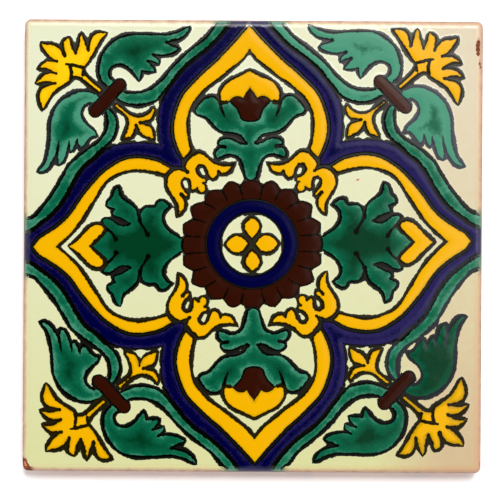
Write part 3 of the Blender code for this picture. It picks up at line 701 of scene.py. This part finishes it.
def glaze_material(name, stops, rim_and_sheen, polish, blotch, blotch_amount, speckle, lean_and_sheen=0.0):
    """A fired glaze: its colour follows how deep it pooled, in blotches this many millimetres across. Towards the
    right of the tile it turns paler, as far as its last argument says: partly thinner glaze, partly a painted
    reflection of the light at the right."""
    _, tree, shader, place = new_material(name, polish)
    _, cover = worn_rim(tree, place, shader, polish)
    depth = add_node(tree, "Attribute", {"attribute_name": "pool_depth"})
    tone = add_node(tree, "Attribute", {"attribute_name": "pool_tone"})
    blotches = add_node(tree, "TexNoise", inputs={"Vector": place, "Scale": 1 / blotch, "Detail": 5.0,
                                                  "Roughness": 0.6, "Distortion": 0.6})
    spread = add_node(tree, "Math", MULTIPLY_ADD, {0: blotches, 1: blotch_amount, 2: -0.5 * blotch_amount})
    shaded = add_node(tree, "Math", ADD, {0: tone, 1: spread})
    level = add_node(tree, "Math", ADD, {0: shaded, 1: depth})
    # Fine bubbles and grains in the glaze, about 0.3 mm across
    grains = add_node(tree, "TexNoise", inputs={"Vector": place, "Scale": 3.0, "Detail": 2.0})
    grainy = add_node(tree, "Math", MULTIPLY_ADD, {0: grains, 1: speckle, 2: -0.5 * speckle})
    total = add_node(tree, "Math", ADD, {0: level, 1: grainy})
    # Paler towards the right of the tile: partly thinner glaze, partly a painted reflection of the light at the
    # right
    across = add_node(tree, "SeparateXYZ", inputs={"Vector": place}, output="X")
    thinning_and_sheen = add_node(tree, "MapRange", inputs={"Value": across, "From Min": 0.0, "From Max": 45.0,
                                                 "To Max": lean_and_sheen})
    final = add_node(tree, "Math", {"operation": "SUBTRACT"}, {0: total, 1: thinning_and_sheen})
    ramp = add_node(tree, "ValToRGB", inputs={"Fac": final}, stops=stops)
    # Over the arris the glaze takes its rim colour; for green and blue this paleness is partly thin glaze, partly
    # a painted reflection of the rounded edge
    body = add_node(tree, "Mix", RGBA, {"Factor": cover, "A": (*rim_and_sheen, 1), "B": ramp})
    tree.links.new(over_line(tree, place, body), shader.inputs["Base Color"])
    add_peel(tree, place, shader)


def add_peel(tree, place, shader):
    """The faint orange peel of a fired glaze, with humps about 2 mm apart."""
    peel = add_node(tree, "TexNoise", inputs={"Vector": place, "Scale": 1 / 2.0, "Detail": 2.0})
    bump = add_node(tree, "Bump", inputs={"Height": peel, "Strength": 0.5, "Distance": 0.03 * MM})
    tree.links.new(bump, shader.inputs["Normal"])


def cream_colour(tree, place):
    """The ground glaze's colour, warmer towards the bottom, pinker to the right and rosy where the two meet; the
    pink at the right is partly its own tint and partly a painted reflection of the light there.
    """
    colours = bpy.context.scene.tile_colours
    across, along = (add_node(tree, "SeparateXYZ", inputs={"Vector": place}, output=axis) for axis in "XY")
    warm = add_node(tree, "MapRange", inputs={"Value": along, "From Min": 35.0, "From Max": -48.0})
    # Pinker to the right: partly the glaze's own tint, partly a painted reflection of the light at the right
    pink = add_node(tree, "MapRange", inputs={"Value": across, "From Min": 28.0, "From Max": 44.0})
    low = add_node(tree, "MapRange", inputs={"Value": along, "From Min": -10.0, "From Max": -44.0})
    rosy = add_node(tree, "Math", {"operation": "MULTIPLY"}, {0: pink, 1: low})
    base = add_node(tree, "Mix", RGBA, {"Factor": warm, "A": (*colours.cream, 1), "B": (*colours.cream_warm, 1)})
    blush = add_node(tree, "Mix", TINT, {"Factor": pink, "A": base, "B": (*colours.blush, 1)})
    return add_node(tree, "Mix", TINT, {"Factor": rosy, "A": blush, "B": (*colours.rose, 1)})


def cream_material():
    """Opaque tin glaze over a biscuit tile, dipped and fired: thick and creamy on the face, thin and pink where it
    drew back from the arris."""
    colours = bpy.context.scene.tile_colours
    material, tree, shader, place = new_material("tin_glaze", POLISH)
    inward, cover = worn_rim(tree, place, shader, POLISH)
    bare = add_node(tree, "MapRange", inputs={"Value": inward, "From Min": 0.05, "From Max": 0.15})
    rim = add_node(tree, "Mix", RGBA, {"Factor": bare, "A": (*colours.rim_dark, 1), "B": (*colours.rim, 1)})
    # The clay shines through near the rim, most of all at the right
    across = add_node(tree, "SeparateXYZ", inputs={"Vector": place}, output="X")
    strength = add_node(tree, "MapRange", inputs={"Value": across, "From Min": -30.0, "From Max": 45.0,
                                                  "To Min": 0.4, "To Max": 1.0})
    near = add_node(tree, "MapRange", SMOOTH, {"Value": inward, "From Min": 0.2, "From Max": 1.25,
                                               "To Min": strength, "To Max": 0.0})
    flush = add_node(tree, "Mix", TINT, {"Factor": near, "A": cream_colour(tree, place),
                                         "B": (*colours.flush, 1)})
    result = add_node(tree, "Mix", RGBA, {"Factor": cover, "A": rim, "B": flush})
    for layer, tint in (("blue_run", colours.blue_thin), ("green_run", colours.green)):
        run = add_node(tree, "Attribute", {"attribute_name": layer})
        result = add_node(tree, "Mix", RGBA, {"Factor": run, "A": result, "B": (*tint, 1)})
    tree.links.new(result, shader.inputs["Base Color"])
    add_peel(tree, place, shader)
    return material


def line_material():
    """Manganese and grease line, brushed on the ground glaze and fired: dark, half covered by the glazes beside
    it, and ragged where it ends on the cream."""
    material, tree, shader, place = new_material("resist_line", 0.2)
    tree.links.new(over_line(tree, place, cream_colour(tree, place)), shader.inputs["Base Color"])
    add_peel(tree, place, shader)
    return material


def clay_material(name="terracotta", shade_darkening=0.0):
    """Low-fired terracotta, pressed and cut: matt, with sand grains and smears of paler slip. The second argument
    darkens it towards the broken-clay colour: on the walls of the chips and flakes this is partly broken clay and
    partly painted shade in the hollow.
    """
    colours = bpy.context.scene.tile_colours
    material, tree, shader, place = new_material(name, 0.9, 1.45)
    # Smears about 8 mm long
    smear = add_node(tree, "TexNoise", inputs={"Vector": place, "Scale": 0.12, "Detail": 5.0})
    # Sand of about 0.4 mm
    sand = add_node(tree, "TexNoise", inputs={"Vector": place, "Scale": 2.5, "Detail": 3.0})
    total = add_node(tree, "Math", MULTIPLY_ADD, {0: sand, 1: 0.5, 2: smear})
    ramp = add_node(tree, "ValToRGB", inputs={"Fac": total}, stops=(
        (0.5 + shade_darkening, colours.chip_and_shade), (0.75 + 0.6 * shade_darkening, colours.clay), (1.0, colours.slip)))
    tree.links.new(ramp, shader.inputs["Base Color"])
    bump = add_node(tree, "Bump", inputs={"Height": sand, "Strength": 0.8, "Distance": 0.15 * MM})
    tree.links.new(bump, shader.inputs["Normal"])
    return material


def glazes():
    """The pool glazes by record slot, made once."""
    if "yellow_pool" not in bpy.data.materials:
        c = bpy.context.scene.tile_colours
        # Lead-antimony yellow: opaque and even, a little browner where it is thin beside a line
        glaze_material("yellow_pool", ((0.0, c.yellow_thin), (0.2, c.yellow), (0.65, c.yellow),
                                       (0.95, c.yellow_light)), c.yellow, POLISH, 3.0, 0.25, 0.1)
        # Copper green: transparent, so it is pale where thin and deep where it pools, with brush streaks; its last
        # value pales it towards the right, partly as painted reflection
        glaze_material("green_pool", ((0.0, c.green_pale), (0.3, c.green), (0.95, c.green_deep)), c.green_rim_and_sheen,
                       POLISH, 3.5, 1.0, 0.35, 0.12)
        # Cobalt blue, laid on thick; its last value pales it towards the right, partly as painted reflection
        glaze_material("blue_pool", ((0.0, c.blue_thin), (0.25, c.blue)), c.blue_rim_and_sheen, POLISH, 3.0, 0.35, 0.5, 0.4)
        # Iron brown
        glaze_material("brown_pool", ((0.0, c.brown_thin), (0.06, c.brown)), c.brown, POLISH, 2.5, 0.2, 0.2)
    return {slot: bpy.data.materials[slot.replace("_glaze", "_pool")] for slot in set(SLOT_OF.values())
            if slot not in ("terracotta", "cream_glaze")}


# ---------------------------------------------------------------- operators

def plate(half_x, half_y, low, high, top_arris, bottom_arris, pitch):
    """A plate with rounded corners and arrises, its faces cut into a grid of the given pitch."""
    bm = bmesh.new()
    bmesh.ops.create_cube(bm, size=1.0, matrix=Matrix.Translation((0, 0, (low + high) / 2))
                          @ Matrix.Diagonal((2 * half_x, 2 * half_y, high - low, 1.0)))
    upright = [e for e in bm.edges if abs(e.verts[0].co.z - e.verts[1].co.z) > 0.5 * (high - low)]
    bmesh.ops.bevel(bm, geom=upright, offset=CORNER, segments=6, profile=0.5, affect="EDGES", material=-1)
    for level, radius, segments in ((high, top_arris, 7), (low, bottom_arris, 3)):
        bm.normal_update()
        rim = [e for e in bm.edges if all(abs(v.co.z - level) < 1e-4 for v in e.verts)
               and min(abs(f.normal.z) for f in e.link_faces) < 0.5]
        if radius:
            bmesh.ops.bevel(bm, geom=rim, offset=radius, segments=segments, profile=0.5, affect="EDGES",
                            material=-1)
    for axis, half in ((Vector((1, 0, 0)), half_x), (Vector((0, 1, 0)), half_y)):
        cuts = int(2 * (half - 2) / pitch)
        for i in range(cuts + 1):
            at = -half + 2 + i * 2 * (half - 2) / cuts
            bmesh.ops.bisect_plane(bm, geom=bm.verts[:] + bm.edges[:] + bm.faces[:], dist=1e-5,
                                   plane_co=axis * at, plane_no=axis)
    return bm


def bite(piece, cutters, slot=0):
    """Cuts rough round bites, (x, y, z, radius) in millimetres, out of a piece."""
    bm = bmesh.new()
    for x, y, z, radius in cutters:
        made = bmesh.ops.create_icosphere(bm, subdivisions=4, radius=radius,
                                          matrix=Matrix.Translation((x, y, z)))["verts"]
        for v in made:
            out = (v.co - Vector((x, y, z))).normalized()
            v.co += out * 0.22 * radius * (noise.noise(v.co * 0.9) + 0.5 * noise.noise(v.co * 2.5))
    bmesh.ops.scale(bm, verts=bm.verts, vec=(MM, MM, MM))
    for face in bm.faces:
        face.material_index = slot
    mesh = bpy.data.meshes.new("bite")
    bm.to_mesh(mesh)
    bm.free()
    cutter = bpy.data.objects.new("bite", mesh)
    bpy.context.scene.collection.objects.link(cutter)
    cut = piece.modifiers.new("bite", "BOOLEAN")
    cut.operation, cut.solver, cut.object, cut.use_self = "DIFFERENCE", "EXACT", cutter, True
    bpy.context.view_layer.update()
    whole = piece.data
    piece.data = bpy.data.meshes.new_from_object(
        piece.evaluated_get(bpy.context.evaluated_depsgraph_get()))
    piece.data.name = piece.name
    piece.modifiers.remove(cut)
    bpy.data.meshes.remove(whole)
    bpy.data.objects.remove(cutter)


# Bites out of the glaze and the clay at the lower left corner
CHIPS = ((-52.9, -50.3, 7.0, 1.85), (-51.3, -52.4, 6.9, 1.7))
# Flakes of glaze lost beside the right edge, and a pinhole
FLAKES = ((51.35, 46.9, 6.95, 0.45), (51.2, 46.1, 6.95, 0.5), (51.25, 45.2, 6.95, 0.5), (51.3, 44.3, 6.95, 0.42),
          (51.7, 42.0, 6.9, 0.3), (52.0, 41.2, 6.9, 0.35), (23.9, 15.4, 6.98, 0.24))


class TILE_OT_clay_body(Operator):
    """Fired terracotta plate with rough sides and a chipped corner"""
    bl_idname = "tile.clay_body"
    bl_label = "Clay Body"

    def execute(self, context):
        bm = plate(HALF_X - CLAY_INSET, HALF_Y - CLAY_INSET, 0.0, CLAY_TOP, *CLAY_ARRISES, 2.0)
        # Rows of points up the sides, for their roughness
        for level in (1.2, 2.4, 3.6, 4.8):
            bmesh.ops.bisect_plane(bm, geom=bm.verts[:] + bm.edges[:] + bm.faces[:], dist=1e-5,
                                   plane_co=(0, 0, level), plane_no=(0, 0, 1))
        bm.normal_update()
        for v in bm.verts:
            if 0.1 < v.co.z < CLAY_TOP - 0.1:
                v.co += v.normal * (0.12 * wave(v.co.x + v.co.y, v.co.z, 3.0) - 0.05
                                    + 0.05 * wave(v.co.x + v.co.y, v.co.z, 0.9))
        piece = finish_piece("terracotta_body", bm, [clay_material()], "clay_body")
        bite(piece, [(x, y, z, radius * 0.8) for x, y, z, radius in CHIPS])
        return {"FINISHED"}


class TILE_OT_ground_glaze(Operator):
    """Cream ground glaze over the face and its arris"""
    bl_idname = "tile.ground_glaze"
    bl_label = "Ground Glaze"

    def execute(self, context):
        sizes = context.scene.tile_sizes
        low = GROUND_TOP - sizes.arris / MM - sizes.glaze_lip / MM
        bm = plate(HALF_X, HALF_Y, low, GROUND_TOP, sizes.arris / MM, 0.0, 1.25)
        edge, blue, green = (bm.verts.layers.float.new(layer) for layer in ("edge", "blue_run", "green_run"))
        trees = {slot: tree_of([p for name in POOLS if SLOT_OF[name] == slot for loop in OUTLINES[name]
                                for p in loop if edge_distance(*p) < EDGE])
                 for slot in ("blue_glaze", "green_glaze")}
        for v in bm.verts:
            x, y = v.co.xy
            inside = edge_distance(x, y)
            if v.co.z > GROUND_TOP - sizes.arris / MM - 1e-3:
                v.co.z += SWELL * wave(x, y, SWELL_LENGTH)
            elif inside < 0.05:
                v.co.z += 0.5 * wave(x, y, 5.0, 4.0) + 0.25 * wave(x, y, 1.6, 6.0) - 0.2
            v[edge] = max(0.0, min(inside / 2, 1.0)) if v.co.z > low + 0.6 else -0.4
            for layer, slot in ((blue, "blue_glaze"), (green, "green_glaze")):
                v[layer] = max(0.0, 1 - gap(trees[slot], (x, y)) / RUN_WIDTH) if inside < EDGE else 0.0
        # The walls of the chips and flakes take the darkened clay: partly broken clay, partly painted shade in the
        # hollow
        piece = finish_piece("cream_ground", bm, [cream_material(), clay_material("broken_clay_and_shade", 0.5)],
                             "ground_glaze")
        bite(piece, CHIPS + FLAKES, 1)
        return {"FINISHED"}


def make_pools(words):
    """The pools whose names hold one of these words."""
    materials = glazes()
    made = [name for name in POOLS if any(word in name for word in words)]
    for name in made:
        make_pool(name, materials[SLOT_OF[name]])
    if not made:
        raise RuntimeError(f"no pools for {words}")


class TILE_OT_corner_sprays(Operator):
    """Pools of the flower, leaves, clasp, stems, bud and trefoil of each corner"""
    bl_idname = "tile.corner_sprays"
    bl_label = "Corner Sprays"

    def execute(self, context):
        make_pools(("corner_flower", "leaf", "clasp", "stem", "bud", "trefoil"))
        return {"FINISHED"}


class TILE_OT_quatrefoil(Operator):
    """Pools of the four yellow arches and the blue band round them"""
    bl_idname = "tile.quatrefoil"
    bl_label = "Quatrefoil"

    def execute(self, context):
        make_pools(("arch", "ogee_band"))
        return {"FINISHED"}


class TILE_OT_lotuses(Operator):
    """Pools of the two lotus motifs on the long axis"""
    bl_idname = "tile.lotuses"
    bl_label = "Lotuses"

    def execute(self, context):
        make_pools(("lotus",))
        return {"FINISHED"}


class TILE_OT_palmettes(Operator):
    """Pools of the two palmettes on the cross axis"""
    bl_idname = "tile.palmettes"
    bl_label = "Palmettes"

    def execute(self, context):
        make_pools(("palmette", "tip_petal"))
        return {"FINISHED"}


class TILE_OT_centre(Operator):
    """Pools of the rosette, its ring and its four petals"""
    bl_idname = "tile.centre"
    bl_label = "Centre"

    def execute(self, context):
        make_pools(("rosette", "centre_"))
        return {"FINISHED"}


LINE_GROUPS = (
    ("arch_lines", ("arch",)),
    ("corner_lines", ("corner_flower", "leaf", "clasp", "stem", "bud", "trefoil")),
    ("band_lines", ("ogee_band",)),
    ("lotus_lines", ("lotus",)),
    ("palmette_lines", ("palmette", "tip_petal")),
    ("centre_lines", ("rosette", "centre_")),
)


class TILE_OT_resist_lines(Operator):
    """Dark lines between the pools"""
    bl_idname = "tile.resist_lines"
    bl_label = "Resist Lines"

    def execute(self, context):
        material = line_material()
        drawn = []
        for group, words in LINE_GROUPS:
            runs = []
            for name in POOLS:
                if any(word in name for word in words):
                    new_runs, new_points = fresh_runs(name, drawn)
                    runs += new_runs
                    drawn += new_points
            if not runs:
                raise RuntimeError(f"no lines for {group}")
            make_lines(group, runs, material)
        return {"FINISHED"}


# Pale panes above the tile: name, width, depth and place in metres, and turn
PANES = (("window", 0.26, 0.15, 0.152, 0.201, math.radians(-45)), ("side_window", 0.14, 0.2, 0.25, 0.0, 0.0))


def area_light(name, power, size, place, target, tint):
    """A soft rectangular light aimed at a point."""
    data = bpy.data.lights.new(name, "AREA")
    data.shape, data.size, data.size_y = "RECTANGLE", *size
    data.energy, data.color = power, tint
    lamp = bpy.data.objects.new(name, data)
    bpy.context.scene.collection.objects.link(lamp)
    lamp.location = place
    lamp.rotation_euler = (Vector(target) - Vector(place)).to_track_quat("-Z", "Y").to_euler()
    return lamp


class TILE_OT_stage(Operator):
    """White floor, soft studio light and a camera straight above the tile"""
    bl_idname = "tile.stage"
    bl_label = "Stage"

    def execute(self, context):
        scene, settings = context.scene, context.scene.tile_stage
        bm = bmesh.new()
        bmesh.ops.create_grid(bm, x_segments=1, y_segments=1, size=1.5)
        mesh = bpy.data.meshes.new("floor")
        bm.to_mesh(mesh)
        bm.free()
        floor = bpy.data.objects.new("floor", mesh)
        scene.collection.objects.link(floor)
        # Matt white laminate
        material, _, shader, _ = new_material("white_laminate", 0.6)
        shader.inputs["Base Color"].default_value = (*linear("#FAFAFA"), 1)
        mesh.materials.append(material)

        # A room that is pale at the horizon and dark overhead, where the glaze mirrors it to the camera
        world = bpy.data.worlds.new("room")
        world.use_nodes = True
        nodes = world.node_tree
        towards = add_node(nodes, "TexCoord", output="Generated")
        right, up = (add_node(nodes, "SeparateXYZ", inputs={"Vector": towards}, output=axis) for axis in "XZ")
        overhead = add_node(nodes, "MapRange", inputs={
            "Value": right, "From Min": 0.02, "From Max": 0.11, "To Min": 0.0, "To Max": settings.zenith})
        strength = add_node(nodes, "MapRange", inputs={
            "Value": up, "From Min": 0.72, "From Max": 0.93, "To Min": settings.sky, "To Max": overhead})
        nodes.links.new(strength, nodes.nodes["Background"].inputs["Strength"])
        nodes.nodes["Background"].inputs["Color"].default_value = (1, 1, 1, 1)
        scene.world = world
        area_light("key", settings.key, (0.8, 0.8), (0.25, 0.9, 2.2), (0, 0, 0), (1.0, 0.99, 0.98))
        for name, width, depth, x, y, turn in PANES:
            power = math.pi * width * depth * settings.pane
            pane = area_light(name, power, (width, depth), (x, y, 1.5), (x, y, 0), (1.0, 0.96, 0.92))
            pane.rotation_euler.z = turn

        data = bpy.data.cameras.new("camera")
        data.lens = settings.lens / MM
        data.sensor_width = 36.0
        distance = settings.view_width * data.lens / data.sensor_width
        camera = bpy.data.objects.new("camera", data)
        scene.collection.objects.link(camera)
        camera.location = (-0.64 * MM, -0.30 * MM, GROUND_TOP * MM + distance)
        camera.rotation_euler = (0, 0, settings.roll)
        data.clip_start, data.clip_end = 0.01, 10.0
        scene.camera = camera
        scene.view_settings.view_transform = "Standard"
        return {"FINISHED"}


class TILE_PT_panel(Panel):
    """Buttons for the tile's pieces and the stage"""
    bl_idname = "TILE_PT_panel"
    bl_label = "Talavera Wall Tile"
    bl_space_type = "VIEW_3D"
    bl_region_type = "UI"
    bl_category = "Tile"

    def draw(self, context):
        for operator in OPERATORS:
            self.layout.operator(operator.bl_idname)
        for group in (context.scene.tile_sizes, context.scene.tile_colours, context.scene.tile_stage):
            for key in group.__annotations__:
                self.layout.prop(group, key)


GROUPS = (TILE_PG_sizes, TILE_PG_colours, TILE_PG_stage)
OPERATORS = (TILE_OT_clay_body, TILE_OT_ground_glaze, TILE_OT_corner_sprays, TILE_OT_quatrefoil,
             TILE_OT_lotuses, TILE_OT_palmettes, TILE_OT_centre, TILE_OT_resist_lines, TILE_OT_stage)


def register():
    for group in (*GROUPS, *OPERATORS, TILE_PT_panel):
        bpy.utils.register_class(group)
    bpy.types.Scene.tile_sizes = PointerProperty(type=TILE_PG_sizes)
    bpy.types.Scene.tile_colours = PointerProperty(type=TILE_PG_colours)
    bpy.types.Scene.tile_stage = PointerProperty(type=TILE_PG_stage)


def unregister():
    del bpy.types.Scene.tile_sizes, bpy.types.Scene.tile_colours, bpy.types.Scene.tile_stage
    for group in reversed((*GROUPS, *OPERATORS, TILE_PT_panel)):
        bpy.utils.unregister_class(group)


def main():
    register()
    build_field()
    for operator in OPERATORS:
        family, name = operator.bl_idname.split(".")
        getattr(getattr(bpy.ops, family), name)()


if __name__ == "__main__":
    main()
